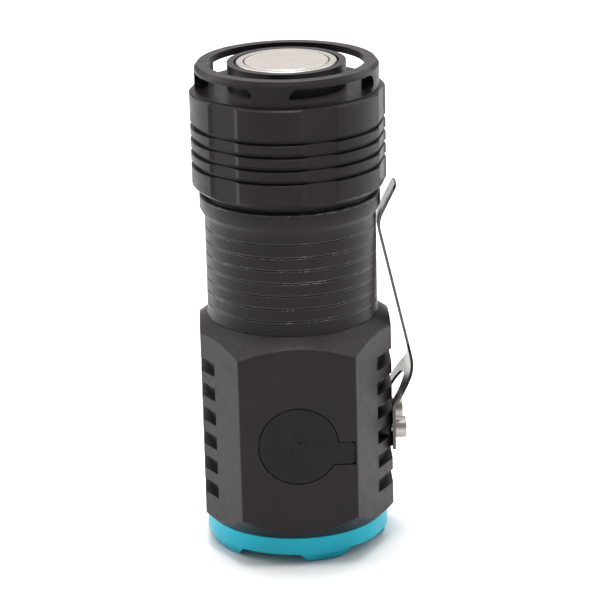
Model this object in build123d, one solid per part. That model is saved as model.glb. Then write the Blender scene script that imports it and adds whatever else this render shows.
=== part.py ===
from build123d import *
import math
import os

os.makedirs("parts", exist_ok=True)

# A pocket flashlight with a magnetic tail, standing on its bezel. Millimetres.
# The axis is Z. Z = 0 is the plane of the bezel's lugs and +Z points to the tail.
# The charging port faces -Y, the switch faces +Y and the pocket clip is on +X.

# Heights in this file are measured from the plane STAND above the lugs' feet, and every
# piece is lifted by STAND as it is written.

# ---- driving dimensions -------------------------------------------------------
STAND = 0.45
RUN = 0.05                # radial clearance of threads and press-in rings

BEZEL_R = 16.2            # teal bezel ring
BEZEL_TOP = 4.4
LUG_COUNT = 5
LUG_ROOT = 1.2            # height of the gaps between the lugs
LUG_CENTRE_DEG = 16.0     # first lug, turned from the port side towards the clip
LENS_R = 14.2

HEAD_APOTHEM = 17.5       # half the distance across the head's flats
HEAD_PLAIN_SIDE = 16.5    # the two side corners of the hexagon are cut flat, here on -X
HEAD_CLIP_SIDE = 17.05    # and here on +X, where the clip is screwed on
HEAD_TOP = 41.5
HEAD_FLARE_R = 16.4       # radius where the lower cone meets the bezel
CORE_R = 15.65            # round core left between the cooling fins
FIN_SLOT_TOP = 35.4
FIN_SLOT_HEIGHT = 2.5
FIN_PITCH = 4.57
FIN_COUNT = 6
FIN_END_X = 14.2          # upright end wall of each fin slot

SHELF_LOW = 16.8          # heat-sink shelf inside the head
SHELF_HIGH = 18.8
CAVITY_R = 13.9           # driver room above the shelf
BOARD_THICK = 1.2
CONTACT_BOARD_Z = 27.4

PORT_Z = 22.1
COVER_R = 6.9             # rubber port cover
COVER_GAP = 0.17
COVER_DEPTH = 1.3
COVER_THICK = 1.2
STRAP_LOW = 18.6
STRAP_HIGH = 22.6
STRAP_HINGE_X = 8.5
STRAP_END_X = 9.7

SWITCH_Z = 24.0
SWITCH_SEAT_R = 6.3
BUTTON_R = 4.65

TUBE_R = 15.0             # battery tube
GROOVE_DEPTH = 0.2
TUBE_BORE_R = 13.35
GROOVE_COUNT = 7
GROOVE_TOP = 57.9
GROOVE_PITCH = 2.3
COLLAR_R = 15.8
NECK_R = 14.6
THREAD_R = 14.9

CELL_R = 13.1             # 26 mm by 35 mm rechargeable cell
CELL_LOW = 36.5
CELL_LENGTH = 35.0
CAN_WALL = 0.3

CAP_R = 16.95             # tail cap
CAP_LOW = 64.8
CAP_SHOULDER = 82.0
CAP_FACET_R = 16.42       # distance of the six shallow flats from the axis
CAP_FACET_DEG = 17.0      # first flat, turned from the port side towards the clip
CAP_FACET_HALF = 2.42     # half the flat's width; a ramp leads out of it on each side
CAP_FLOOR = 82.3
CAP_RIM_TOP = 86.6
SHROUD_R = 15.95
SHROUD_BORE_R = 13.6
BOSS_R = 10.3
MAGNET_CUP_R = 8.72
MAGNET_R = 7.3
MAGNET_TOP = 86.7

CLIP_THICK = 0.5          # sheet steel pocket clip
CLIP_HALF_WIDTH = 7.1
CLIP_BASE_LOW = 16.7
CLIP_BASE_HIGH = 24.2
CLIP_HOLE_LOW = 23.4      # opening between the clip's two legs
CLIP_HOLE_HALF = 4.1
CLIP_HOLE_TOP = 28.9
CLIP_ARM_WIDTH = 5.2
SCREW_Z = 20.3
SCREW_Y = 4.75
SCREW_HEAD_R = 1.9
SCREW_HEAD_HEIGHT = 2.0

LOW = (Align.CENTER, Align.CENTER, Align.MIN)


# ---- helpers --------------------------------------------------------------------
def disc(radius, low, high):
    """A solid cylinder on the main axis between two heights."""
    return Pos(0, 0, low) * Cylinder(radius, high - low, align=LOW)


def ring(outer, inner, low, high):
    """A plain ring about the main axis."""
    return disc(outer, low, high) - disc(inner, low - 1, high + 1)


def turned(points):
    """A solid of revolution about Z from (radius, height) points."""
    outline = Plane.XZ * make_face(Polyline(*points, close=True))
    return revolve(outline, Axis.Z)


def along_y(sketch, x, z, start, end):
    """A sketch standing on an X-Z plane and pushed along +Y from start to end."""
    plane = Plane(origin=(x, start, z), x_dir=(1, 0, 0), z_dir=(0, 1, 0))
    return extrude(plane * sketch, amount=end - start)


def along_x(sketch, y, z, start, end):
    """A sketch standing on a Y-Z plane and pushed along +X from start to end."""
    plane = Plane(origin=(start, y, z), x_dir=(0, 1, 0), z_dir=(1, 0, 0))
    return extrude(plane * sketch, amount=end - start)


def block(x0, x1, y0, y1, z0, z1):
    """A rectangular block between two opposite corners."""
    centre = Pos((x0 + x1) / 2, (y0 + y1) / 2, (z0 + z1) / 2)
    return centre * Box(x1 - x0, y1 - y0, z1 - z0)


def coil(radius, low, high, turns, wire, cone_deg=0):
    """A round-wire spring between two flat ends; high ends with the larger radius if coned."""
    path = Helix(pitch=(high - low - wire) / turns, height=high - low - wire, radius=radius,
                 center=(0, 0, low + wire / 2), cone_angle=cone_deg)
    section = Plane(path @ 0, z_dir=path % 0) * Circle(wire / 2)
    return sweep(section, path=path)


def save(shape, node):
    """Write one named piece, lifted so that the lugs stand at Z = 0."""
    lifted = [Pos(0, 0, STAND) * solid for solid in shape.solids()]
    whole = lifted[0] if len(lifted) == 1 else Compound(children=lifted)
    export_step(whole, f"parts/{node}.step")


# ---- bezel and optics -------------------------------------------------------------
def bezel_ring():
    """Crenellated ring that holds the lens and screws into the head."""
    body = turned([
        (14.1, -STAND), (15.3, -STAND), (15.7, -0.1), (BEZEL_R, 1.2), (BEZEL_R, BEZEL_TOP - 0.15),
        (BEZEL_R - 0.15, BEZEL_TOP), (15.0, BEZEL_TOP), (15.0, 9.6), (14.35, 9.6),
        (14.35, 2.8), (12.9, 2.8), (12.9, 1.5),
    ])
    tooth_gap = Polyline((-6.9, -2), (6.9, -2), (6.6, -STAND), (5.25, LUG_ROOT), (-5.25, LUG_ROOT),
                         (-6.6, -STAND), close=True)
    cutter = along_y(make_face(Rot(0, 0, 180) * tooth_gap), 0, 0, -20, -10)
    for k in range(LUG_COUNT):
        body -= Rot(0, 0, LUG_CENTRE_DEG + (k + 0.5) * 360 / LUG_COUNT) * cutter
    return body


def reflector():
    """Polished cup with a hole for the emitter."""
    steps = 8
    depth_low = 5.3
    depth_high = 15.0
    wall = 0.6
    mouth_r = 13.4
    hole_r = 3.6
    inside = []
    for k in range(steps + 1):
        z = depth_low + (depth_high - depth_low) * k / steps
        share = (depth_high - z) / (depth_high - depth_low)
        inside.append((math.sqrt(hole_r ** 2 + (mouth_r ** 2 - hole_r ** 2) * share), z))
    outside = [(r + wall, z) for r, z in reversed(inside)]
    flange = [(LENS_R, depth_low + 1.2), (LENS_R, depth_low)]
    outside = [p for p in outside if p[1] > depth_low + 1.2 and p[0] < LENS_R]
    return turned(inside + outside + flange)


def led_emitter():
    """Square emitter package with its dome, facing the bezel."""
    package = block(-1.75, 1.75, -1.75, 1.75, 14.9, 15.4)
    dome = Pos(0, 0, 14.9) * Sphere(1.5) & disc(2, 13.0, 14.9)
    return package + dome


def led_wires():
    """Two leads from the driver board to the emitter board."""
    leads = [Pos(x, 0, 0) * disc(0.5, SHELF_LOW, SHELF_HIGH + 0.5) for x in (-8.0, 8.0)]
    return Compound(children=leads)


# ---- head -------------------------------------------------------------------------
def head_outline():
    """Hexagonal prism with its two side corners cut flat and its edges eased."""
    hexagon = RegularPolygon(radius=HEAD_APOTHEM, side_count=6, major_radius=False)
    middle = (HEAD_CLIP_SIDE - HEAD_PLAIN_SIDE) / 2
    outline = hexagon & Pos(middle, 0) * Rectangle(HEAD_CLIP_SIDE + HEAD_PLAIN_SIDE, 60)
    return fillet(outline.vertices(), 0.5)


def fin_slots():
    """Cooling slots across both sides of the head, down to its round core."""
    slots = Part()
    clip_side_core = Pos(HEAD_CLIP_SIDE - HEAD_PLAIN_SIDE, 0, 0) * disc(CORE_R, 0, 60)
    for k in range(FIN_COUNT):
        high = FIN_SLOT_TOP - k * FIN_PITCH
        low = high - FIN_SLOT_HEIGHT
        slots += block(-30, -FIN_END_X, -30, 30, low, high) - disc(CORE_R, 0, 60)
        slots += block(FIN_END_X, 30, -30, 30, low, high) - clip_side_core
    return slots


def port_recess():
    """Round seat for the port cover, its strap channel and the plug opening."""
    floor = -HEAD_APOTHEM + COVER_DEPTH
    strap_height = STRAP_HIGH - STRAP_LOW
    strap_z = (STRAP_HIGH + STRAP_LOW) / 2
    seat = along_y(Circle(COVER_R + COVER_GAP), 0, PORT_Z, -19, floor)
    channel = block(3, STRAP_END_X + 0.15, -19, floor,
                    strap_z - strap_height / 2 - 0.15, strap_z + strap_height / 2 + 0.15)
    plug_way = along_y(SlotOverall(10.8, 5.4), 0, PORT_Z, -18, -12)
    anchor_hole = along_y(Circle(0.9), 9.0, strap_z, -18, -14.8)
    return seat + channel + plug_way + anchor_hole


def head_shell():
    """Finned hexagonal head with the shelf, the driver room and the tube thread."""
    prism = extrude(head_outline(), amount=HEAD_TOP)
    cones = turned([
        (0, BEZEL_TOP), (HEAD_FLARE_R - 0.2, BEZEL_TOP), (HEAD_FLARE_R, BEZEL_TOP + 0.2),
        (20.5, 8.9), (20.5, 37.9), (15.35, 41.34), (15.1, HEAD_TOP), (0, HEAD_TOP),
    ])
    body = prism & cones
    body -= fin_slots()
    for side in (-1, 1):
        body += along_x(Circle(1.9), side * SCREW_Y, SCREW_Z, 14.5, HEAD_CLIP_SIDE) & prism
    body -= disc(15.0 + RUN, 4, 9.9)
    body -= disc(14.45, 9.8, 12.0)
    body -= turned([(0, 11.9), (14.45, 11.9), (11.3, 15.4), (11.3, SHELF_LOW), (0, SHELF_LOW)])
    body -= disc(CAVITY_R, SHELF_HIGH + 0.5, CONTACT_BOARD_Z)
    body -= disc(CAVITY_R - 1.0, SHELF_HIGH, SHELF_HIGH + 0.6)
    body -= disc(14.3, CONTACT_BOARD_Z, 30.7)
    body -= disc(NECK_R + RUN, 30.6, HEAD_TOP + 1)
    for x in (-8.0, 8.0):
        body -= Pos(x, 0, 0) * disc(0.8, SHELF_LOW - 1, SHELF_HIGH + 1)
    body -= port_recess()
    body -= along_y(Circle(SWITCH_SEAT_R), 0, SWITCH_Z, 15.2, 20)
    body -= along_y(Circle(2.6), 0, SWITCH_Z, 12.5, 16)
    for side in (-1, 1):
        body -= along_x(Circle(1.0 + RUN), side * SCREW_Y, SCREW_Z, 12.0, 18)
    return body


# ---- charging port -----------------------------------------------------------------
def port_cover():
    """Rubber flap: disc with a raised mark, locating tongue and the swinging strap."""
    outer = -HEAD_APOTHEM
    inner = outer + COVER_THICK
    disc_part = along_y(Circle(COVER_R), 0, PORT_Z, outer, inner)
    disc_part = chamfer(disc_part.edges().filter_by(GeomType.CIRCLE).sort_by(Axis.Y)[0], 0.25)
    strap = block(4, STRAP_HINGE_X, outer + 0.1, outer + 0.9, STRAP_LOW, STRAP_HIGH)
    tongue = along_y(SlotOverall(9.6, 4.6), 0.3, PORT_Z, inner, -14.85)
    bolt = make_face(Polyline((0.9, 3.0), (-1.7, -0.5), (-0.1, -0.5), (-0.9, -3.0), (1.7, 0.5),
                              (0.1, 0.5), close=True))
    mark = along_y(Rot(0, 0, 25) * bolt, 0, PORT_Z, outer - 0.12, outer + 0.1)
    return disc_part + strap + tongue + mark


def port_cover_anchor():
    """Fixed end of the strap with the peg that holds it in the head."""
    outer = -HEAD_APOTHEM
    strap_z = (STRAP_HIGH + STRAP_LOW) / 2
    pad = block(STRAP_HINGE_X + 0.12, STRAP_END_X, outer + 0.1, outer + COVER_DEPTH - 0.05,
                STRAP_LOW, STRAP_HIGH)
    peg = along_y(Circle(0.5), 9.15, strap_z, outer + COVER_DEPTH - 0.1, -15.0)
    return pad + peg


def usb_shell():
    """Stamped metal shell of the charging socket."""
    outer = SlotOverall(8.94, 3.2)
    inner = SlotOverall(8.34, 2.6)
    sleeve = along_y(outer - inner, 0, PORT_Z, -14.6, -7.3)
    back = along_y(outer, 0, PORT_Z, -7.6, -7.3)
    return sleeve + back


def usb_tongue():
    """Insulating tongue and base inside the socket."""
    base = along_y(SlotOverall(8.2, 2.46), 0, PORT_Z, -9.2, -7.65)
    tongue = block(-3.35, 3.35, -14.0, -9.2, PORT_Z - 0.35, PORT_Z + 0.35)
    return base + tongue


# ---- driver ------------------------------------------------------------------------
DRIVER_LOW = SHELF_HIGH + 0.5
DRIVER_HIGH = DRIVER_LOW + BOARD_THICK


def driver_board():
    """Round circuit board that stands on the shelf's rim."""
    return disc(CAVITY_R - 0.1, DRIVER_LOW, DRIVER_HIGH)


def driver_components():
    """Coil, chips and capacitors soldered to the driver board."""
    top = DRIVER_HIGH
    pieces = [
        block(-8.5, -3.5, -1.0, 4.0, top, top + 3.0),
        block(4.0, 7.6, -3.5, 0.1, top, top + 0.9),
        block(3.0, 6.0, 3.0, 6.0, top, top + 1.0),
        block(-1.6, 0.4, 1.0, 2.2, top, top + 0.8),
        block(-1.6, 0.4, 4.0, 5.2, top, top + 0.8),
        block(8.6, 9.8, 2.0, 4.0, top, top + 0.8),
        block(-10.6, -9.6, -2.0, 0.0, top, top + 0.8),
    ]
    return Compound(children=pieces)


def contact_board():
    """Round board that carries the battery's positive spring."""
    return disc(14.2, CONTACT_BOARD_Z, CONTACT_BOARD_Z + BOARD_THICK)


def retaining_ring(radius, bore, low, high):
    """Threaded ring with two spanner notches that clamps a board."""
    body = ring(radius, bore, low, high)
    for side in (-1, 1):
        body -= block(-0.9, 0.9, side * bore - 0.8, side * bore + 0.8, low - 1, high + 1)
    return body


# ---- switch ------------------------------------------------------------------------
def switch_board():
    """Upright daughter board behind the switch."""
    return block(-4.0, 4.0, 11.2, 12.0, DRIVER_HIGH, 27.1)


def tact_switch():
    """Small tactile switch: square body and round plunger."""
    body = block(-2.6, 2.6, 12.0, 13.2, SWITCH_Z - 2.6, SWITCH_Z + 2.6)
    plunger = along_y(Circle(0.9), 0, SWITCH_Z, 13.2, 13.85)
    return body + plunger


def switch_seal():
    """Silicone washer round the button's stem."""
    return along_y(Circle(6.2) - Circle(2.2), 0, SWITCH_Z, 15.2, 15.8)


def switch_bezel():
    """Metal trim ring pressed in round the button."""
    body = along_y(Circle(6.25) - Circle(BUTTON_R + 0.1), 0, SWITCH_Z, 15.8, 17.9)
    rims = body.edges().filter_by(GeomType.CIRCLE).sort_by(Axis.Y)[-2:]
    return chamfer(rims, 0.25)


def switch_button():
    """Domed round button with its stem."""
    stem = along_y(Circle(2.0), 0, SWITCH_Z, 14.45, 16.5)
    cap = along_y(Circle(BUTTON_R), 0, SWITCH_Z, 16.45, 18.1)
    crown = cap.edges().filter_by(GeomType.CIRCLE).sort_by(Axis.Y)[-1]
    cap = fillet(crown, 0.5)
    dish = Pos(0, 26.6, SWITCH_Z) * Sphere(8.9)
    return stem + cap - dish


# ---- battery tube ------------------------------------------------------------------
def tube_profile():
    """Outer outline of the tube: flat bands between fine grooves, under a flared collar."""
    sloped = 0.22             # the long upper edge of each band
    undercut = 0.12           # the short lower edge of the band above it
    points = [(TUBE_BORE_R, 31.0), (NECK_R, 31.0), (NECK_R, HEAD_TOP + 0.05), (15.1, HEAD_TOP + 0.05),
              (15.1, 42.2), (TUBE_R, 42.4)]
    for k in reversed(range(GROOVE_COUNT)):
        groove = GROOVE_TOP - k * GROOVE_PITCH
        points += [(TUBE_R, groove - sloped), (TUBE_R - GROOVE_DEPTH, groove),
                   (TUBE_R, groove + undercut)]
    points += [(TUBE_R, 59.7), (COLLAR_R, 61.2), (COLLAR_R, 63.3), (COLLAR_R - 0.2, 63.5)]
    return points


def battery_tube():
    """Tube with a plain lower thread, the grooved grip, the collar and the tail thread."""
    points = tube_profile()
    points += [
        (NECK_R, 63.5), (NECK_R, 65.2), (14.0, 65.2), (14.0, 66.6), (THREAD_R, 66.6),
        (THREAD_R, 71.0), (THREAD_R - 0.3, 71.3), (TUBE_BORE_R, 71.3),
    ]
    body = turned(points)
    groove = ring(NECK_R + 1, 14.0, 39.2, 40.6)
    return body - groove


def tube_orings():
    """Two sealing rings, one at each thread of the tube."""
    lower = Pos(0, 0, 39.9) * Torus(14.29, 0.29)
    upper = Pos(0, 0, 65.9) * Torus(14.45, 0.45)
    return Compound(children=[lower, upper])


# ---- battery -----------------------------------------------------------------------
def battery_can():
    """Closed steel can with the positive button at its lower end."""
    can = disc(CELL_R - 0.15, CELL_LOW, CELL_LOW + CELL_LENGTH)
    can = fillet(can.edges().filter_by(GeomType.CIRCLE), 0.5)
    button = disc(3.6, CELL_LOW - 0.6, CELL_LOW + 0.1)
    room = disc(CELL_R - 0.15 - CAN_WALL, CELL_LOW + CAN_WALL, CELL_LOW + CELL_LENGTH - CAN_WALL)
    return can + button - room


def battery_core():
    """Wound electrodes that fill the can."""
    return disc(CELL_R - 0.2 - CAN_WALL, CELL_LOW + CAN_WALL, CELL_LOW + CELL_LENGTH - CAN_WALL)


def battery_wrap():
    """Thin insulating sleeve round the can."""
    return ring(CELL_R, CELL_R - 0.14, CELL_LOW + 0.6, CELL_LOW + CELL_LENGTH - 0.6)


# ---- tail cap ----------------------------------------------------------------------
def cap_outline():
    """Outer turned shape: grooved grip below the narrower slotted shroud."""
    groove_depth = 0.8
    half = 0.42
    points = [(0, CAP_LOW), (CAP_R - 0.75, CAP_LOW), (CAP_R, CAP_LOW + 0.75)]
    for centre in (69.4, 71.7, 74.0, 76.3):
        points += [
            (CAP_R, centre - half - 0.12), (CAP_R - 0.12, centre - half),
            (CAP_R - groove_depth, centre - half + 0.15), (CAP_R - groove_depth, centre + half - 0.15),
            (CAP_R - 0.12, centre + half), (CAP_R, centre + half + 0.12),
        ]
    points += [
        (CAP_R, CAP_SHOULDER - 0.25), (CAP_R - 0.25, CAP_SHOULDER), (SHROUD_R, CAP_SHOULDER + 0.1),
        (SHROUD_R, CAP_RIM_TOP - 0.65), (SHROUD_R - 0.5, CAP_RIM_TOP), (0, CAP_RIM_TOP),
    ]
    return points


def cap_facets():
    """Six flats with a deeper chamfer above each, set between the grip's round faces."""
    low = CAP_LOW - 1
    high = CAP_SHOULDER + 0.2
    ramp_out = 1.6
    ramp_rise = 0.34
    plan = Polyline((-CAP_FACET_HALF, CAP_FACET_R), (CAP_FACET_HALF, CAP_FACET_R),
                    (CAP_FACET_HALF + ramp_out, CAP_FACET_R + ramp_rise), (6, 19), (-6, 19),
                    (-CAP_FACET_HALF - ramp_out, CAP_FACET_R + ramp_rise), close=True)
    flat = Pos(0, 0, low) * extrude(make_face(plan), amount=high - low)
    slope_low = 80.3
    slope = Polyline((CAP_FACET_R + 0.02, slope_low), (SHROUD_R + 0.02, high), (20, high),
                     (20, slope_low), close=True)
    wedge = extrude(Plane.YZ * make_face(slope), amount=6, both=True)
    side = Polyline((-CAP_FACET_HALF - 0.1, slope_low), (CAP_FACET_HALF + 0.1, slope_low),
                    (4.2, high), (-4.2, high), close=True)
    wedge &= along_y(make_face(side), 0, 0, 15, 20)
    cutter = Part()
    for k in range(6):
        cutter += Rot(0, 0, CAP_FACET_DEG - 180 + 60 * k) * (flat + wedge)
    return cutter


def shroud_windows():
    """Four long slots under the rim, left between four posts."""
    window_half = 33.5
    low = CAP_FLOOR
    high = 85.4
    width = 2 * SHROUD_R * math.sin(math.radians(window_half))
    cutter = Part()
    for k in range(4):
        slot = along_y(SlotOverall(width, high - low), 0, (low + high) / 2, -20, -11.2)
        cutter += Rot(0, 0, -12 + 45 + 90 * k) * slot
    return cutter


def tail_cap():
    """Tail cap: threaded skirt, contact room, slotted shroud and the magnet's boss."""
    body = turned(cap_outline())
    body -= cap_facets()
    body -= disc(THREAD_R + 0.08, CAP_LOW - 1, 72.2)
    body -= disc(13.3, 72.1, 79.4)
    well = ring(SHROUD_BORE_R, BOSS_R, CAP_FLOOR, CAP_RIM_TOP + 1)
    body -= well
    body -= shroud_windows()
    body += disc(BOSS_R, CAP_FLOOR - 0.1, CAP_RIM_TOP - 0.5)
    body += turned([(0, 86.0), (BOSS_R, 86.0), (BOSS_R, CAP_RIM_TOP - 0.4),
                    (BOSS_R - 0.4, CAP_RIM_TOP), (0, CAP_RIM_TOP)])
    body -= disc(MAGNET_CUP_R + 0.1, 83.2, CAP_RIM_TOP + 1)
    body -= disc(MAGNET_CUP_R + 0.38, CAP_RIM_TOP - 0.7, CAP_RIM_TOP + 1)
    return body


def magnet_cup():
    """Steel cup round the magnet, level with the boss."""
    cup = disc(MAGNET_CUP_R, 83.2, MAGNET_TOP - 0.05)
    cup = chamfer(cup.edges().filter_by(GeomType.CIRCLE).sort_by(Axis.Z)[-1], 0.12)
    return cup - disc(MAGNET_R + 0.2, 84.0, 90)


def magnet():
    """Plated disc magnet, a hair proud of its cup."""
    body = disc(MAGNET_R, 84.0, MAGNET_TOP)
    return chamfer(body.edges().filter_by(GeomType.CIRCLE).sort_by(Axis.Z)[-1], 0.1)


# ---- pocket clip -------------------------------------------------------------------
CLIP_MID_X = HEAD_CLIP_SIDE + CLIP_THICK / 2


def clip_base():
    """Flat plate screwed to the side of the head."""
    plate = along_x(Rectangle(2 * CLIP_HALF_WIDTH, CLIP_BASE_HIGH - CLIP_BASE_LOW), 0,
                    (CLIP_BASE_HIGH + CLIP_BASE_LOW) / 2, HEAD_CLIP_SIDE,
                    HEAD_CLIP_SIDE + CLIP_THICK)
    lower = plate.edges().filter_by(Axis.X).group_by(Axis.Z)[0]
    plate = fillet(lower, 0.6)
    plate -= block(15, 19, -CLIP_HOLE_HALF, CLIP_HOLE_HALF, CLIP_HOLE_LOW, 30)
    for side in (-1, 1):
        plate -= along_x(Circle(1.1), side * SCREW_Y, SCREW_Z, 15, 19)
    return plate


def clip_arm():
    """Bent spring arm: two legs that join into one narrow strip with a flared tip."""
    path = FilletPolyline((CLIP_MID_X, CLIP_BASE_HIGH + 0.08), (CLIP_MID_X, 24.9), (21.05, 31.1),
                          (15.1, 57.8), (18.4, 64.4), radius=(1.2, 5.0, 5.0))
    side = Plane.XZ * trace(path, CLIP_THICK)
    sheet = extrude(side, amount=CLIP_HALF_WIDTH, both=True)
    half = CLIP_ARM_WIDTH / 2
    edge = CLIP_HALF_WIDTH
    outline = make_face(Polyline(
        (-edge, 24), (edge, 24), (edge, 27.2), (half + 0.4, 33.0), (half, 34.5), (half, 63.4),
        (half - 1.0, 65.6), (-half + 1.0, 65.6), (-half, 63.4), (-half, 34.5), (-half - 0.4, 33.0),
        (-edge, 27.2), close=True,
    ))
    arch_z = CLIP_HOLE_TOP - CLIP_HOLE_HALF
    arch = Pos(0, arch_z) * Circle(CLIP_HOLE_HALF)
    arch += Pos(0, arch_z - 1) * Rectangle(2 * CLIP_HOLE_HALF, 2)
    return sheet & along_x(outline - arch, 0, 0, 10, 25)


def clip_screws():
    """Two socket-head screws through the clip's plate."""
    seat = HEAD_CLIP_SIDE + CLIP_THICK
    screws = []
    for side in (-1, 1):
        head = along_x(Circle(SCREW_HEAD_R), side * SCREW_Y, SCREW_Z, seat, seat + SCREW_HEAD_HEIGHT)
        head = fillet(head.edges().filter_by(GeomType.CIRCLE).sort_by(Axis.X)[-1], 0.25)
        head -= along_x(RegularPolygon(0.75, 6), side * SCREW_Y, SCREW_Z, seat + 0.9, seat + 3)
        head += along_x(Circle(1.0), side * SCREW_Y, SCREW_Z, 13.95, seat + 0.1)
        screws.append(head)
    return Compound(children=screws)


# ---- write the pieces --------------------------------------------------------------
PIECES = {
    "bezel_ring": bezel_ring(),
    "lens_gasket": ring(14.3, 13.1, 2.8, 3.4),
    "lens": disc(LENS_R, 3.4, 5.3),
    "reflector": reflector(),
    "centring_gasket": ring(6.0, 2.7, 15.05, 15.4),
    "led_emitter": led_emitter(),
    "led_board": disc(11.2, 15.4, SHELF_LOW),
    "led_wires": led_wires(),
    "head_shell": head_shell(),
    "driver_board": driver_board(),
    "driver_components": driver_components(),
    "usb_shell": usb_shell(),
    "usb_tongue": usb_tongue(),
    "port_cover": port_cover(),
    "port_cover_anchor": port_cover_anchor(),
    "switch_board": switch_board(),
    "tact_switch": tact_switch(),
    "switch_seal": switch_seal(),
    "switch_bezel": switch_bezel(),
    "switch_button": switch_button(),
    "contact_board": contact_board(),
    "contact_retainer": retaining_ring(14.25, 12.4, 28.6, 30.4),
    "positive_spring": coil(3.2, 28.6, 35.9, 4, 0.8),
    "battery_tube": battery_tube(),
    "tube_orings": tube_orings(),
    "battery_can": battery_can(),
    "battery_core": battery_core(),
    "battery_wrap": battery_wrap(),
    "tail_cap": tail_cap(),
    "tail_board": disc(13.2, 78.2, 79.4),
    "tail_retainer": retaining_ring(13.25, 11.2, 76.6, 78.2),
    "tail_spring": coil(5.0, 71.55, 78.15, 4, 0.8),
    "magnet_cup": magnet_cup(),
    "magnet": magnet(),
    "clip_base": clip_base(),
    "clip_arm": clip_arm(),
    "clip_screws": clip_screws(),
}

for node, shape in PIECES.items():
    save(shape, node)
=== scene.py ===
# %% Load the measured model
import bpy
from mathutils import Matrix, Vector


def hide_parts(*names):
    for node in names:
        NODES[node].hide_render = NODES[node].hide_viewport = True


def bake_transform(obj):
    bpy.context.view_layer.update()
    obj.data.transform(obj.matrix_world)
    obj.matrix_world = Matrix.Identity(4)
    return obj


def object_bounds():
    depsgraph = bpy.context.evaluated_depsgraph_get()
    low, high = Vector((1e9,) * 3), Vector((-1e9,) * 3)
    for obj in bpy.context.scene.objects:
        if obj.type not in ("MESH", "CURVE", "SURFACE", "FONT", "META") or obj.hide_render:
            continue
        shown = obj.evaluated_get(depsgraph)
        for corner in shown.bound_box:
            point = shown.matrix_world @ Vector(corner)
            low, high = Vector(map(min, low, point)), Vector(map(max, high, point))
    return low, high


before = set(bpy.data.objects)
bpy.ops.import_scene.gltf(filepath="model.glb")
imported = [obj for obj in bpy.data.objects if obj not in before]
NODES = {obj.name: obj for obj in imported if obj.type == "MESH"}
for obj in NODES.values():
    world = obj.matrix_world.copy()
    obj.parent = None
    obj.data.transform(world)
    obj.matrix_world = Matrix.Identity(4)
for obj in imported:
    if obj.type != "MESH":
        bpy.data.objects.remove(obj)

CAD_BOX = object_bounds()
print("CAD box in metres:", [tuple(round(v, 4) for v in corner) for corner in CAD_BOX])

# %% [markdown]
# # A pocket flashlight, finished piece by piece
# The measured model gives every rigid piece its shape and place: the axis is Z, the light
# stands on the toothed bezel at Z = 0, the charging port looks along -Y and the clip is on +X.
# What is left to do here is what measuring doesn't give: the finish of each surface, the fine
# breaks on machined edges, and the two pieces that bend, the rubber port cover and the clip.

# %% Names used everywhere
import math

import bmesh
import bpy
from mathutils import Matrix, Vector

MM = 0.001
print("nodes to finish:", len(NODES))

# %% [markdown]
# ## A short way to write shader nodes
# A finish is a small graph of nodes. Writing each node out takes five lines, so one helper adds
# a node, sets its settings, and either links an input or gives it a value. Every texture here
# reads the piece's own coordinates, in metres, so the grain stays on the metal as pieces move.


# %% Node helper
def add(tree, kind, inputs=None, **settings):
    """Add one shader node; an input given a socket is linked, anything else is a value."""
    made = tree.nodes.new(kind)
    for key, value in settings.items():
        setattr(made, key, value)
    for key, value in (inputs or {}).items():
        if isinstance(value, bpy.types.NodeSocket):
            tree.links.new(value, made.inputs[key])
        else:
            made.inputs[key].default_value = value
    return made


def math_node(tree, operation, first, second=0.0):
    """One arithmetic step between two sockets or values."""
    return add(tree, "ShaderNodeMath", {0: first, 1: second}, operation=operation).outputs[0]


def remap(tree, value, low, high, to_low=0.0, to_high=1.0):
    """Stretch a value from one range onto another and clamp it there."""
    inputs = {"Value": value, "From Min": low, "From Max": high,
              "To Min": to_low, "To Max": to_high}
    return add(tree, "ShaderNodeMapRange", inputs).outputs["Result"]


def mix_colour(tree, share, first, second):
    """Blend two colours by a share from 0 to 1."""
    made = add(tree, "ShaderNodeMix", data_type="RGBA")
    pairs = ((made.inputs[0], share), (made.inputs[6], first), (made.inputs[7], second))
    for socket, value in pairs:
        if isinstance(value, bpy.types.NodeSocket):
            tree.links.new(value, socket)
        else:
            socket.default_value = value
    return made.outputs[2]


def toned(colour, factor=1.0):
    """A colour with its alpha, made lighter or darker by a factor."""
    return (colour[0] * factor, colour[1] * factor, colour[2] * factor, 1.0)


print("node helpers:", [tool.__name__ for tool in (add, math_node, remap, mix_colour, toned)])


# %% [markdown]
# ## What all the finishes share
# Real surfaces differ from a plain colour in three ways: broad clouds of slightly lighter and
# darker tone, a roughness that changes from place to place, and a fine grain that catches light.
# One function builds those three for any finish. `stretch` squeezes the grain along one axis, so
# the same noise gives blasted metal, lathe lines or brushed strokes.

# %% Base finish
CLOUD_LOW, CLOUD_HIGH = 0.3, 0.7
GRAIN_STRENGTH = 0.6
BARE_CELLS = 0.8


def object_point(tree, stretch=(1, 1, 1)):
    """The piece's own coordinates, stretched per axis."""
    where = add(tree, "ShaderNodeTexCoord").outputs["Object"]
    return add(tree, "ShaderNodeMapping", {"Vector": where, "Scale": stretch}).outputs["Vector"]


def noise(tree, scale, stretch=(1, 1, 1), detail=2.0):
    """Cloudy noise; scale is the number of clouds in a metre."""
    inputs = {"Vector": object_point(tree, stretch), "Scale": scale, "Detail": detail}
    return add(tree, "ShaderNodeTexNoise", inputs).outputs["Fac"]


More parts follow.
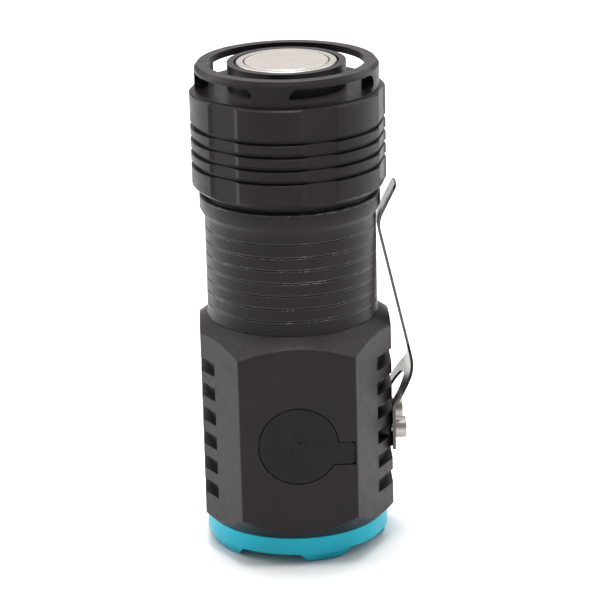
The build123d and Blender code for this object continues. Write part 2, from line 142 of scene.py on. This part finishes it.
def finish(name, colour, rough, metal=0.0, cloud=120.0, tone=0.25, rough_swing=0.06,
           grain=3500.0, grain_mm=0.004, stretch=(1, 1, 1)):
    """A finish with clouds in its tone, uneven gloss and a fine grain."""
    material = bpy.data.materials.new(name)
    material.use_nodes = True
    tree = material.node_tree
    shader = tree.nodes["Principled BSDF"]
    clouds = noise(tree, cloud, detail=3.0)
    dark = toned(colour, 1.0 - tone)
    light = toned(colour, 1.0 + tone)
    tint = mix_colour(tree, remap(tree, clouds, CLOUD_LOW, CLOUD_HIGH), dark, light)
    tree.links.new(tint, shader.inputs["Base Color"])
    gloss = remap(tree, noise(tree, cloud * 4), CLOUD_LOW, CLOUD_HIGH,
                  rough - rough_swing, rough + rough_swing)
    tree.links.new(gloss, shader.inputs["Roughness"])
    fine = noise(tree, grain, stretch, detail=2.0)
    bump = add(tree, "ShaderNodeBump", {"Height": fine, "Strength": GRAIN_STRENGTH,
                                        "Distance": grain_mm * MM})
    tree.links.new(bump.outputs["Normal"], shader.inputs["Normal"])
    shader.inputs["Metallic"].default_value = metal
    return material, tree, shader, bump


def scatter_specks(tree, scale, size):
    """Small round specks, 1 inside and 0 outside; only about one cell in five has one."""
    where = object_point(tree)
    cells = add(tree, "ShaderNodeTexVoronoi", {"Vector": where, "Scale": scale})
    near = remap(tree, cells.outputs["Distance"], size, size * 0.5)
    chosen = add(tree, "ShaderNodeSeparateColor", {"Color": cells.outputs["Color"]}).outputs["Red"]
    return math_node(tree, "MULTIPLY", near, math_node(tree, "GREATER_THAN", chosen, BARE_CELLS))


print("finish helpers ready")

# %% [markdown]
# ## Black anodised aluminium
# Head, barrel and tail cap are turned and milled aluminium, anodised black: a satin skin that is
# nearly neutral, a touch warm. The sloping cones were left coarser by the blasting before the
# dye, which gives them a grainy bump; their sparkle is painted light, pale glints mixed into the
# base colour on faces that lean up towards the overhead light. The lathe leaves fine rings on
# round parts. Sharp edges are paler in patches on their bevels: partly a little dye lost in a
# pocket, partly a painted highlight along the edge line. A few specks of dust sit on the skin. The
# cones are found by how far a surface leans upwards, so one graph serves every piece.

# %% Black anodising
BLACK = (0.0150, 0.0122, 0.0134)
BLACK_GLOSS = 0.20
BLACK_SHEEN_TINT = (1.0, 0.93, 0.96, 1.0)
# Pale tone of the painted glints mixed into the colour of the up-leaning cones.
GLINT_PAINT = (0.13, 0.125, 0.12, 1.0)
# Pale tone of the edge bevels: partly bare metal from wear, partly a painted edge highlight.
BARE_AND_LIT = (0.42, 0.40, 0.39, 1.0)
DUST = (0.22, 0.21, 0.20, 1.0)
SAND_SCALE, SAND_STRENGTH, SAND_MM = 4600.0, 0.9, 0.022
RING_SCALE, RING_STRENGTH = 9000.0, 0.5
SPARKLE_LOW, SPARKLE_HIGH, SPARKLE_SHARE = 0.56, 0.72, 0.3
DUST_SCALE, DUST_SIZE, DUST_SHARE = 260.0, 0.03, 0.5


def leaning(tree, low, high):
    """1 on surfaces whose upward lean lies between two values, 0 elsewhere."""
    point = add(tree, "ShaderNodeTexCoord").outputs["Normal"]
    lean = add(tree, "ShaderNodeSeparateXYZ", {"Vector": point}).outputs["Z"]
    above = math_node(tree, "GREATER_THAN", lean, low)
    below = math_node(tree, "LESS_THAN", lean, high)
    return math_node(tree, "MULTIPLY", above, below)


def black_anodising(name, lean_low, lean_high, lathe_mm):
    """Satin black skin; where a face leans between the two values it gets a coarse grainy bump and
    painted glints, pale specks in the base colour.
    """
    material, tree, shader, bump = finish(name, BLACK, 0.40, tone=0.16, rough_swing=0.05,
                                          grain=5200.0, grain_mm=0.003)
    blasted_and_lit = leaning(tree, lean_low, lean_high)
    sand = noise(tree, SAND_SCALE, detail=3.0)
    coarse = math_node(tree, "MULTIPLY", sand, blasted_and_lit)
    sand_bump = add(tree, "ShaderNodeBump", {"Height": coarse, "Strength": SAND_STRENGTH,
                    "Distance": SAND_MM * MM, "Normal": bump.outputs["Normal"]})
    rings = noise(tree, RING_SCALE, (0.02, 0.02, 1.0), detail=1.0)
    ring_bump = add(tree, "ShaderNodeBump", {"Height": rings, "Strength": RING_STRENGTH,
                    "Distance": lathe_mm * MM, "Normal": sand_bump.outputs["Normal"]})
    tree.links.new(ring_bump.outputs["Normal"], shader.inputs["Normal"])
    tint = shader.inputs["Base Color"].links[0].from_socket
    # Painted glints: pale specks mixed into the base colour on the up-leaning faces, standing in
    # for light caught by their coarse grain.
    glints = remap(tree, sand, SPARKLE_LOW, SPARKLE_HIGH)
    sparkle = math_node(tree, "MULTIPLY", glints, blasted_and_lit)
    tint = mix_colour(tree, math_node(tree, "MULTIPLY", sparkle, SPARKLE_SHARE), tint, GLINT_PAINT)
    specks = scatter_specks(tree, DUST_SCALE, DUST_SIZE)
    dust = math_node(tree, "MULTIPLY", specks, DUST_SHARE)
    tint = mix_colour(tree, dust, tint, DUST)
    tree.links.new(tint, shader.inputs["Base Color"])
    shader.inputs["Specular IOR Level"].default_value = BLACK_GLOSS
    shader.inputs["Specular Tint"].default_value = BLACK_SHEEN_TINT
    return material


def lit_worn_edge(name, share):
    """The black skin on the edge bevels, paler in patches by up to the given share: partly rubbed
    wear, partly a painted edge highlight.
    """
    material, tree, shader, _ = finish(name, BLACK, 0.36, tone=0.16)
    broad_patches = noise(tree, 260.0, detail=2.0)
    small_patches = noise(tree, 2600.0, detail=3.0)
    both = math_node(tree, "ADD", broad_patches, small_patches)
    patches = remap(tree, both, 1.06, 1.3, share * 0.10, share)
    # Paler patches in the bevel's base colour: partly wear, partly a painted edge highlight.
    tint = shader.inputs["Base Color"].links[0].from_socket
    tint = mix_colour(tree, patches, tint, BARE_AND_LIT)
    tree.links.new(tint, shader.inputs["Base Color"])
    return material


HEAD_BLACK = black_anodising("head_anodising", 0.35, 0.95, 0.0)
BARREL_BLACK = black_anodising("barrel_anodising", 0.995, 1.0, 0.006)
CAP_BLACK = black_anodising("cap_anodising", 0.12, 0.45, 0.004)
EDGE_BLACK = lit_worn_edge("lit_worn_edge", 0.7)
print("black finishes:", [m.name for m in (HEAD_BLACK, BARREL_BLACK, CAP_BLACK, EDGE_BLACK)])

# %% [markdown]
# ## Teal anodised bezel
# The same process with a bright dye. The dye is clear enough to see the metal under it, so the
# shader is mostly metallic and the colour comes from the reflection.

# %% Teal anodising
TEAL = (0.014, 0.400, 0.520)


def teal_anodising():
    """Bright dyed aluminium with faint lathe rings."""
    material, _, shader, _ = finish("teal_anodising", TEAL, 0.40, metal=0.35, tone=0.08,
                                    grain=7000.0, grain_mm=0.004, stretch=(0.05, 0.05, 1.0))
    shader.inputs["Specular IOR Level"].default_value = 0.3
    return material


TEAL_FINISH = teal_anodising()
print("teal finish:", TEAL_FINISH.name)

# %% [markdown]
# ## Bare metals
# The magnet and the cup round it are nickel plated: bright, slightly warm, with a soft scuffed
# gloss. Screws are stainless. The clip is spring steel blackened in hot oil, dark but glossy, so
# it mirrors its surroundings in stripes. Springs are gold plated.

# %% Metals
NICKEL_TONE = (0.50, 0.465, 0.43)


def scuffed_metal(name, colour, rough, scratch_mm, stretch):
    """Plated or machined metal with directional scuffs."""
    return finish(name, colour, rough, metal=1.0, tone=0.03, rough_swing=0.03, grain=2600.0,
                  grain_mm=scratch_mm, stretch=stretch)[0]


NICKEL = scuffed_metal("nickel_plate", NICKEL_TONE, 0.36, 0.0008, (1, 1, 1))
MAGNET_PLATE = scuffed_metal("magnet_plate", NICKEL_TONE, 0.42, 0.0006, (0.25, 1, 1))
STAINLESS = scuffed_metal("stainless_screw", (0.46, 0.42, 0.39), 0.38, 0.0010, (1, 1, 1))
CLIP_STEEL = scuffed_metal("blackened_spring_steel", (0.085, 0.080, 0.080), 0.24, 0.0012,
                           (1, 1, 0.1))
GOLD_WIRE = scuffed_metal("gold_plated_wire", (0.78, 0.56, 0.24), 0.22, 0.001, (1, 1, 1))
MACHINED = scuffed_metal("machined_aluminium", (0.58, 0.58, 0.60), 0.32, 0.002, (0.1, 0.1, 1))
MIRROR = scuffed_metal("metallised_mirror", (0.88, 0.88, 0.90), 0.06, 0.0004, (1, 1, 1))
METALS = (NICKEL, MAGNET_PLATE, STAINLESS, CLIP_STEEL, GOLD_WIRE, MACHINED, MIRROR)
print("metals:", [metal.name for metal in METALS])

# %% [markdown]
# ## Rubbers and plastics
# Moulded rubber is matt and a little uneven; its grain is the texture of the mould. Circuit
# boards, chips and the sleeve of the cell are inside, and get the same care at a smaller budget.


# %% Rubbers and plastics
def moulded(name, colour, rough, tone=0.12, grain_mm=0.004, gloss=0.5):
    """Moulded rubber or plastic."""
    material, _, shader, _ = finish(name, colour, rough, tone=tone, grain=4200.0,
                                    grain_mm=grain_mm)
    shader.inputs["Specular IOR Level"].default_value = gloss
    return material


COVER_RUBBER = moulded("cover_rubber", (0.0118, 0.0098, 0.0108), 0.46, grain_mm=0.006,
                       gloss=0.17)
SEAL_RUBBER = moulded("seal_rubber", (0.012, 0.012, 0.012), 0.42, gloss=0.3)
BOARD_MASK = moulded("board_mask", (0.010, 0.110, 0.045), 0.30, tone=0.2)
CHIP_EPOXY = moulded("chip_epoxy", (0.022, 0.022, 0.023), 0.55)
PORT_PLASTIC = moulded("port_plastic", (0.024, 0.024, 0.026), 0.48)
SPACER_WHITE = moulded("spacer_white", (0.78, 0.78, 0.75), 0.45, tone=0.05)
LEAD_JACKET = moulded("lead_jacket", (0.48, 0.02, 0.02), 0.45)
CELL_SLEEVE = moulded("cell_sleeve", (0.045, 0.13, 0.34), 0.25, tone=0.08)
CELL_CORE = moulded("cell_core", (0.16, 0.12, 0.09), 0.6)
PHOSPHOR = moulded("phosphor", (0.80, 0.66, 0.16), 0.35, tone=0.08)


def lens_glass():
    """Clear toughened glass with a faint green body."""
    material, _, shader, _ = finish("lens_glass", (0.93, 0.97, 0.96), 0.04, tone=0.01,
                                    rough_swing=0.015, grain_mm=0.0002)
    shader.inputs["Transmission Weight"].default_value = 1.0
    shader.inputs["IOR"].default_value = 1.5
    return material


GLASS = lens_glass()
print("rubbers, plastics and glass ready")

# %% [markdown]
# ## Dressing the measured pieces
# One table says which finish each measured piece wears. A piece missing from the table stops the
# script here, so nothing is left bare.

# %% Dress the measured pieces
FINISH_OF = {
    "bezel_ring": TEAL_FINISH, "switch_bezel": TEAL_FINISH, "switch_button": BARREL_BLACK,
    "lens_gasket": SEAL_RUBBER, "lens": GLASS, "reflector": MIRROR,
    "centring_gasket": SPACER_WHITE, "led_emitter": PHOSPHOR, "led_board": BOARD_MASK,
    "led_wires": LEAD_JACKET, "head_shell": HEAD_BLACK, "driver_board": BOARD_MASK,
    "driver_components": CHIP_EPOXY, "usb_shell": NICKEL, "usb_tongue": PORT_PLASTIC,
    "port_cover": COVER_RUBBER, "port_cover_anchor": COVER_RUBBER, "switch_board": BOARD_MASK,
    "tact_switch": CHIP_EPOXY, "switch_seal": SEAL_RUBBER, "contact_board": BOARD_MASK,
    "contact_retainer": MACHINED, "positive_spring": GOLD_WIRE, "battery_tube": BARREL_BLACK,
    "tube_orings": SEAL_RUBBER, "battery_can": NICKEL, "battery_wrap": CELL_SLEEVE,
    "tail_cap": CAP_BLACK, "tail_board": BOARD_MASK, "tail_retainer": MACHINED,
    "tail_spring": GOLD_WIRE, "magnet_cup": NICKEL, "magnet": MAGNET_PLATE,
    "clip_base": CLIP_STEEL, "clip_arm": CLIP_STEEL, "clip_screws": STAINLESS,
    "battery_core": CELL_CORE,
}
for node_name, node in NODES.items():
    node.data.materials.clear()
    node.data.materials.append(FINISH_OF[node_name])
print("dressed", len(NODES), "measured pieces")

# %% [markdown]
# ## Breaking the machined edges
# No real edge is a perfect corner. A machinist breaks it, and blasting and dye soften it more, so
# it shows as a thin bright line. The measured meshes are welded first, because their corners are
# split, and then a narrow bevel runs along every edge sharper than 30 degrees. The tail cap's
# shallow flats meet its round faces at a much smaller angle, so a small group of geometry nodes
# marks those corners as crisp, and the shading is then weighted by face size to stay even.

# %% Edge breaks
EDGE_BREAK_MM = {
    "head_shell": 0.2, "tail_cap": 0.13, "battery_tube": 0.05, "bezel_ring": 0.15,
    "switch_bezel": 0.06, "magnet_cup": 0.05,
}
# Pieces whose edge bevels get the paler finish, partly wear and partly a painted edge highlight.
LIT_WORN_EDGE_PIECES = ("head_shell", "tail_cap", "battery_tube")
CRISP_DEG = {"tail_cap": 7.0, "bezel_ring": 24.0}
WELD_MM = 0.0005
BEVEL_DEG = 30


def crisp_corners(degrees):
    """Geometry nodes that keep every edge sharper than an angle crisp."""
    tree = bpy.data.node_groups.new("crisp_corners", "GeometryNodeTree")
    for way in ("INPUT", "OUTPUT"):
        tree.interface.new_socket("Geometry", in_out=way, socket_type="NodeSocketGeometry")
    start = tree.nodes.new("NodeGroupInput")
    end = tree.nodes.new("NodeGroupOutput")
    angle = tree.nodes.new("GeometryNodeInputMeshEdgeAngle").outputs["Unsigned Angle"]
    chosen = math_node(tree, "GREATER_THAN", angle, math.radians(degrees))
    crisp = add(tree, "GeometryNodeSetShadeSmooth", {0: start.outputs[0], "Selection": chosen},
                domain="EDGE")
    crisp.inputs["Shade Smooth"].default_value = False
    tree.links.new(crisp.outputs[0], end.inputs[0])
    return tree


def break_edges(piece, width, crisp_deg=None):
    """Weld a mesh, bevel its sharp edges and even out the shading; the width is in metres."""
    weld = piece.modifiers.new("weld", "WELD")
    weld.merge_threshold = WELD_MM * MM
    if crisp_deg:
        piece.modifiers.new("crisp_corners", "NODES").node_group = crisp_corners(crisp_deg)
    bevel = piece.modifiers.new("edge_break", "BEVEL")
    bevel.width = width
    bevel.segments = 2
    bevel.limit_method = "ANGLE"
    bevel.angle_limit = math.radians(BEVEL_DEG)
    bevel.miter_outer = "MITER_ARC"
    bevel.use_clamp_overlap = True
    even = piece.modifiers.new("even_shading", "WEIGHTED_NORMAL")
    even.mode = "FACE_AREA"
    even.weight = 80
    even.keep_sharp = True
    return bevel


for node_name, width_mm in EDGE_BREAK_MM.items():
    bevel = break_edges(NODES[node_name], width_mm * MM, CRISP_DEG.get(node_name))
    # The bevel faces of these pieces get the paler edge finish, partly wear and partly a painted
    # edge highlight.
    if node_name in LIT_WORN_EDGE_PIECES:
        NODES[node_name].data.materials.append(EDGE_BLACK)
        bevel.material = 1
print("edges broken on", len(EDGE_BREAK_MM), "pieces")

# %% [markdown]
# ## Two pieces that bend
# A measured model cuts a bending piece in two rigid halves at its hinge line. The outlines
# need arcs at their corners, so one function rounds the corners of any run of straight lines.
# Heights are taken from the drawing, whose zero lies 0.45 mm above the feet of the lugs.

# %% Rounded outlines
STAND = 0.45


def rounded(corners, radii, closed=True, steps=7):
    """Points along straight lines with an arc of the given radius at each corner."""
    points = [Vector(corner) for corner in corners]
    found = []
    for k, (corner, radius) in enumerate(zip(points, radii)):
        at_end = not closed and k in (0, len(points) - 1)
        if at_end or radius == 0:
            found.append(corner)
            continue
        back = (points[k - 1] - corner).normalized()
        ahead = (points[(k + 1) % len(points)] - corner).normalized()
        half = back.angle(ahead) / 2
        centre = corner + (back + ahead).normalized() * (radius / math.sin(half))
        first = (corner + back * (radius / math.tan(half)) - centre).normalized()
        last = (corner + ahead * (radius / math.tan(half)) - centre).normalized()
        arc = [first.slerp(last, j / steps).normalized() for j in range(steps + 1)]
        found += [centre + way * radius for way in arc]
    return found


def circle(x, z, radius, steps=64, start=0.0, end=360.0):
    """Points on an arc, angles in degrees; a full circle doesn't repeat its first point."""
    count = steps if end - start >= 360 else steps + 1
    angles = [math.radians(start + (end - start) * k / steps) for k in range(count)]
    return [Vector((x + radius * math.cos(a), z + radius * math.sin(a))) for a in angles]


def finished_mesh(name, bm, modifiers):
    """A smooth-shaded object from a bmesh in millimetres, its modifiers already applied."""
    bmesh.ops.recalc_face_normals(bm, faces=bm.faces)
    bmesh.ops.translate(bm, vec=(0, 0, STAND), verts=bm.verts)
    bmesh.ops.scale(bm, vec=(MM, MM, MM), verts=bm.verts)
    mesh = bpy.data.meshes.new(name + "_blank")
    bm.to_mesh(mesh)
    bm.free()
    mesh.shade_smooth()
    blank = bpy.data.objects.new(name + "_blank", mesh)
    bpy.context.scene.collection.objects.link(blank)
    for kind, settings in modifiers:
        made = blank.modifiers.new(kind.lower(), kind)
        for key, value in settings.items():
            setattr(made, key, value)
    solid = blank.evaluated_get(bpy.context.evaluated_depsgraph_get())
    piece = bpy.data.objects.new(name, bpy.data.meshes.new_from_object(solid))
    bpy.data.objects.remove(blank)
    bpy.context.scene.collection.objects.link(piece)
    return piece


print("outline tools ready")

# %% [markdown]
# ## The clip: one strip of spring steel
# The blank is drawn flat, as width against height: a plate with two screw holes, an opening
# between two legs, then a narrow strip. The blank is filled, sliced across at every bend so it can
# follow the curve, and each point is pushed out to the bent line at its own height.

# %% Clip
CLIP_LINE = rounded([(17.3, 16.7), (17.3, 24.9), (21.05, 31.1), (15.1, 57.8), (18.4, 64.4)],
                    [0, 1.2, 5.0, 5.0, 0], closed=False, steps=10)
CLIP_SHEET = 0.5
CLIP_OUTLINE = rounded(
    [(-7.1, 16.7), (7.1, 16.7), (7.1, 27.6), (3.2, 33.8), (2.6, 35.0), (2.6, 64.4),
     (-2.6, 64.4), (-2.6, 35.0), (-3.2, 33.8), (-7.1, 27.6)],
    [0.6, 0.6, 2.5, 1.5, 1.0, 0.9, 0.9, 1.0, 1.5, 2.5])
CLIP_OPENING = rounded([(-4.1, 23.4), (4.1, 23.4), (4.1, 28.9), (-4.1, 28.9)],
                       [0.6, 0.6, 4.0, 4.0], steps=12)
SCREW_Y, SCREW_Z, HOLE_R = 4.75, 20.3, 1.1
CLIP_HOLES = [circle(side * SCREW_Y, SCREW_Z, HOLE_R, steps=24) for side in (-1, 1)]
CLIP_BEND_FROM, CLIP_BEND_STEP, CLIP_BEND_CUTS = 24.0, 0.35, 9
SLICE_NEAR = 1e-5


def out_at(height):
    """How far from the axis the clip's middle line is at a height."""
    for low, high in zip(CLIP_LINE, CLIP_LINE[1:]):
        if height <= high.y:
            share = (height - low.y) / max(high.y - low.y, 1e-9)
            return low.x + (high.x - low.x) * share
    return CLIP_LINE[-1].x


def bent_clip():
    """The blank, filled, sliced and bent, with its sheet thickness and eased edges."""
    bm = bmesh.new()
    for loop in [CLIP_OUTLINE, CLIP_OPENING] + CLIP_HOLES:
        rim = [bm.verts.new((0, p.x, p.y)) for p in loop]
        for first, second in zip(rim, rim[1:] + rim[:1]):
            bm.edges.new((first, second))
    bmesh.ops.triangle_fill(bm, edges=bm.edges, use_beauty=True)
    levels = [p.y for p in CLIP_LINE[1:-1]]
    levels += [CLIP_BEND_FROM + CLIP_BEND_STEP * k for k in range(CLIP_BEND_CUTS)]
    for level in sorted(levels):
        whole = bm.verts[:] + bm.edges[:] + bm.faces[:]
        bmesh.ops.bisect_plane(bm, geom=whole, dist=SLICE_NEAR, plane_co=(0, 0, level),
                               plane_no=(0, 0, 1))
    for vert in bm.verts:
        vert.co.x = out_at(vert.co.z)
    solid = {"thickness": CLIP_SHEET * MM, "offset": 0.0, "use_even_offset": True}
    eased = {"width": 0.07 * MM, "segments": 2, "limit_method": "ANGLE",
             "angle_limit": math.radians(50), "harden_normals": True}
    return finished_mesh("pocket_clip", bm, [("SOLIDIFY", solid), ("BEVEL", eased)])


CLIP = bent_clip()
CLIP.data.materials.clear()
CLIP.data.materials.append(CLIP_STEEL)
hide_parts("clip_base", "clip_arm")
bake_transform(CLIP)
print("clip:", len(CLIP.data.vertices), "points, tip at",
      [round(v * 1000, 2) for v in max((v.co for v in CLIP.data.vertices), key=lambda c: c.z)])

# %% [markdown]
# ## The port cover: one moulding of soft rubber
# A disc that fills its seat, a strap that leads to the side, a tongue that pushes into the socket
# and a peg that holds the strap in the head. A raised bolt says what the port is for. The strap is
# sliced across where it would bend, and only there.

# %% Port cover
COVER_FACE, COVER_BACK = -17.5, -16.3
COVER_Z, COVER_R = 22.1, 6.9
STRAP_CORNERS = [(5.9, 18.6), (9.7, 18.6), (9.7, 22.6), (6.5, 22.6)]
STRAP_ROUND, STRAP_DROP, STRAP_BACK = 0.7, 0.1, -16.6
TONGUE_CORNERS = [(-4.5, 19.8), (5.1, 19.8), (5.1, 24.4), (-4.5, 24.4)]
TONGUE_ROUND, TONGUE_ROOT, TONGUE_TIP = 2.29, -16.4, -14.85
PEG_X, PEG_Z, PEG_R, PEG_ROOT, PEG_TIP = 9.15, 20.6, 0.5, -16.7, -15.0
BOLT = [(0.9, 3.0), (-1.7, -0.5), (-0.1, -0.5), (-0.9, -3.0), (1.7, 0.5), (0.1, 0.5)]
BOLT_LEAN, BOLT_RISE, BOLT_ROOT = math.radians(25), 0.12, -17.3
STRAP_BEND_FROM, STRAP_BEND_STEP, STRAP_BEND_CUTS = 7.7, 0.2, 9


def prism(bm, outline, front, back):
    """A closed prism from an outline in x and z, between two depths in y."""
    near = [bm.verts.new((p.x, front, p.y)) for p in outline]
    far = [bm.verts.new((p.x, back, p.y)) for p in outline]
    bm.faces.new(near)
    bm.faces.new(list(reversed(far)))
    for k in range(len(outline)):
        j = (k + 1) % len(outline)
        bm.faces.new((near[j], near[k], far[k], far[j]))


def rubber_cover():
    """Disc, strap, tongue, peg and raised bolt in one piece."""
    bm = bmesh.new()
    middle = Vector((0, COVER_Z))
    turn = Matrix.Rotation(BOLT_LEAN, 2)
    strap = rounded(STRAP_CORNERS, [0, STRAP_ROUND, STRAP_ROUND, 0])
    tongue = rounded(TONGUE_CORNERS, [TONGUE_ROUND] * 4)
    bolt = [middle + turn @ Vector(corner) for corner in BOLT]
    prism(bm, circle(0, COVER_Z, COVER_R, steps=96), COVER_FACE, COVER_BACK)
    prism(bm, strap, COVER_FACE + STRAP_DROP, STRAP_BACK)
    prism(bm, tongue, TONGUE_ROOT, TONGUE_TIP)
    prism(bm, circle(PEG_X, PEG_Z, PEG_R, steps=16), PEG_ROOT, PEG_TIP)
    prism(bm, bolt, COVER_FACE - BOLT_RISE, BOLT_ROOT)
    for k in range(STRAP_BEND_CUTS):
        whole = bm.verts[:] + bm.edges[:] + bm.faces[:]
        across = (STRAP_BEND_FROM + STRAP_BEND_STEP * k, 0, 0)
        bmesh.ops.bisect_plane(bm, geom=whole, dist=SLICE_NEAR, plane_co=across,
                               plane_no=(1, 0, 0))
    eased = {"width": 0.1 * MM, "segments": 3, "limit_method": "ANGLE",
             "angle_limit": math.radians(50), "harden_normals": True}
    return finished_mesh("rubber_cover", bm, [("BEVEL", eased)])


COVER = rubber_cover()
COVER.data.materials.clear()
COVER.data.materials.append(COVER_RUBBER)
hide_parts("port_cover", "port_cover_anchor")
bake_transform(COVER)
print("cover:", len(COVER.data.vertices), "points")

# %% [markdown]
# ## Floor
# A pale sweep of matt board under the light, wide enough to fill the view.

# %% Floor
FLOOR_HALF = 3.0
FLOOR_GAP_MM = 0.05


def pale_floor():
    """A large board just under the bezel's lugs."""
    mesh = bpy.data.meshes.new("floor")
    corners = [(-FLOOR_HALF, -FLOOR_HALF, 0), (FLOOR_HALF, -FLOOR_HALF, 0),
               (FLOOR_HALF, FLOOR_HALF, 0), (-FLOOR_HALF, FLOOR_HALF, 0)]
    mesh.from_pydata(corners, [], [(0, 1, 2, 3)])
    floor = bpy.data.objects.new("floor", mesh)
    bpy.context.scene.collection.objects.link(floor)
    floor.location.z = CAD_BOX[0][2] - FLOOR_GAP_MM * MM
    material = finish("floor_board", (0.86, 0.86, 0.86), 0.6, cloud=4.0, tone=0.01,
                      grain=900.0, grain_mm=0.01)[0]
    mesh.materials.append(material)
    return floor


FLOOR = pale_floor()
print("floor at", round(FLOOR.location.z / MM, 3), "mm")

# %% [markdown]
# ## Studio light
# A black satin object shows mostly what it reflects. Two tall soft boxes stand left and right and
# draw the bright flanks, a broad one overhead lights the tail and the cones, and the room itself
# is an even grey that keeps the front dark but readable.

# %% Lights
STUDIO = bpy.data.worlds.new("studio")
ROOM_TONE = (1.0, 0.995, 0.99, 1.0)
ROOM_LEVEL = 0.35
MIDDLE = (CAD_BOX[0] + CAD_BOX[1]) / 2
# Each soft box: where it stands in metres, its width, its height, and its power in watts.
SOFT_BOXES = {
    "left_box": ((-0.70, 0.30, 0.30), 0.5, 1.0, 4.5),
    "right_box": ((0.70, 0.30, 0.30), 0.5, 1.0, 4.0),
    "top_box": ((0.0, 0.25, 0.95), 0.9, 0.7, 9.0),
    "top_strip": ((0.0, 0.02, 0.90), 0.22, 0.6, 6.0),
    "back_box": ((0.0, 1.10, 0.45), 1.0, 0.5, 1.1),
}


def light_room():
    """An even, slightly warm room."""
    STUDIO.use_nodes = True
    back = STUDIO.node_tree.nodes["Background"]
    back.inputs["Color"].default_value = ROOM_TONE
    back.inputs["Strength"].default_value = ROOM_LEVEL
    bpy.context.scene.world = STUDIO


def soft_box(name, at, aim, width, height, power):
    """A rectangular area light looking from one point to another."""
    data = bpy.data.lights.new(name, "AREA")
    data.shape = "RECTANGLE"
    data.size = width
    data.size_y = height
    data.energy = power
    lamp = bpy.data.objects.new(name, data)
    lamp.location = at
    lamp.rotation_euler = (Vector(aim) - Vector(at)).to_track_quat("-Z", "Y").to_euler()
    bpy.context.scene.collection.objects.link(lamp)
    return lamp


light_room()
for box_name, (stands_at, wide, high, watts) in SOFT_BOXES.items():
    soft_box(box_name, stands_at, MIDDLE, wide, high, watts)
print("soft boxes:", list(SOFT_BOXES))

# %% [markdown]
# ## Camera
# The camera stands half a metre in front and looks down a little, so the tail shows as an
# ellipse. The long lens keeps the sides of the barrel close to parallel.

# %% Camera
CAMERA_AT = Vector((-12.93, -478.8, 203.25)) * MM
CAMERA_AIM = Vector((1.34, -0.04, 43.55)) * MM
CAMERA_LENS = 171.3
CAMERA_ROLL = math.radians(1.43)


def stand_camera():
    """A long lens a little above the light, rolled slightly."""
    data = bpy.data.cameras.new("camera")
    data.lens = CAMERA_LENS
    data.sensor_width = 36.0
    data.clip_start = 0.01
    camera = bpy.data.objects.new("camera", data)
    forward = (CAMERA_AIM - CAMERA_AT).normalized()
    right = forward.cross(Vector((0, 0, 1))).normalized()
    up = right.cross(forward)
    across = right * math.cos(CAMERA_ROLL) - up * math.sin(CAMERA_ROLL)
    upward = right * math.sin(CAMERA_ROLL) + up * math.cos(CAMERA_ROLL)
    axes = Matrix((across, upward, -forward)).transposed()
    camera.matrix_world = Matrix.Translation(CAMERA_AT) @ axes.to_4x4()
    bpy.context.scene.collection.objects.link(camera)
    bpy.context.scene.camera = camera


stand_camera()
bpy.context.scene.view_settings.view_transform = "Standard"
print("camera stands", round((CAMERA_AIM - CAMERA_AT).length, 3), "m from what it looks at")
